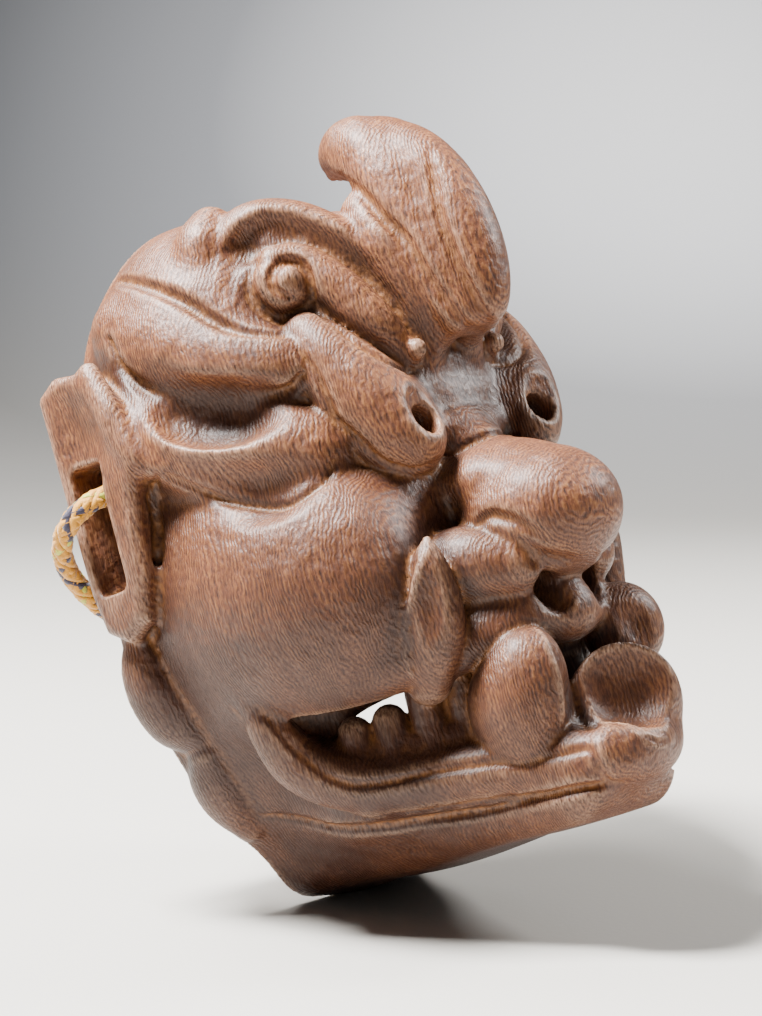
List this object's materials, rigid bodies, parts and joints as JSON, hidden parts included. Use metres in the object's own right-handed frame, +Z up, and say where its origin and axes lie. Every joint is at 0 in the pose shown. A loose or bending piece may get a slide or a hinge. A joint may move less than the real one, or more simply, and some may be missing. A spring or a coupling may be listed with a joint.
{
  "type": "noh mask",
  "caption": "Carved wooden demon mask with a curled forelock, bulging pierced eyes, open tusked mouth and hollow back, on a braided cord tied through slots in its ears.",
  "frame": {"origin": "centre of the mask's hollow back, in the plane of the back rim at the level of the ears; the mask leans back in its display pose", "axes": "+Z up with the mask leaning back as on display, the face towards -Y, the mirror plane at X = 0; the back rim's outward normal is tilted down from +Y by the lean"},
  "size_m": [0.226, 0.231, 0.2858],
  "materials": {
    "wood": "carved zelkova with open wavy grain, stained brown and waxed to a low sheen",
    "cord": "round braid of gold silk with navy and light yellow-green bands"
  },
  "bodies": {
    "root": {"carved_mask": "wood", "cord": "cord", "right_knot": "cord", "left_knot": "cord"}
  },
  "joints": []
}
